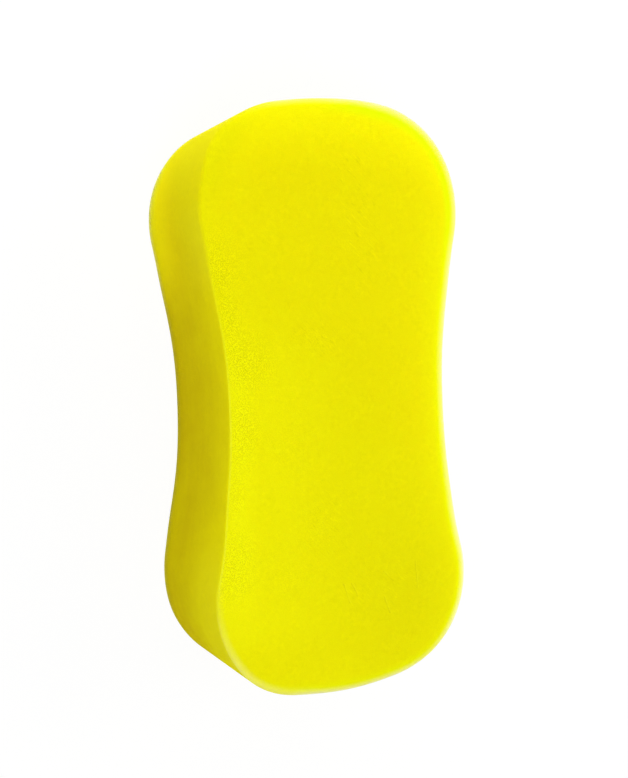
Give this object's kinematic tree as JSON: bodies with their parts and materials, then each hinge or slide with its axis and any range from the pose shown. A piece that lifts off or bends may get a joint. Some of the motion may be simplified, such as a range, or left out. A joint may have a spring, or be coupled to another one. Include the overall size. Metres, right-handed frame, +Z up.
{
  "type": "cleaning sponge",
  "caption": "Thick block of fine-celled yellow foam for washing and wiping, with bowed ends, rounded corners and a narrowed waist that the hand grips.",
  "frame": {"origin": "middle of the flat back face, on which the sponge lies", "axes": "+Z up through the thickness, from the back face to the front face; +Y along the length; +X across the waist"},
  "size_m": [0.1076, 0.22, 0.055],
  "materials": {
    "foam": "matt open-cell foam, cut faces"
  },
  "bodies": {
    "root": {"sponge": "foam"}
  },
  "joints": []
}
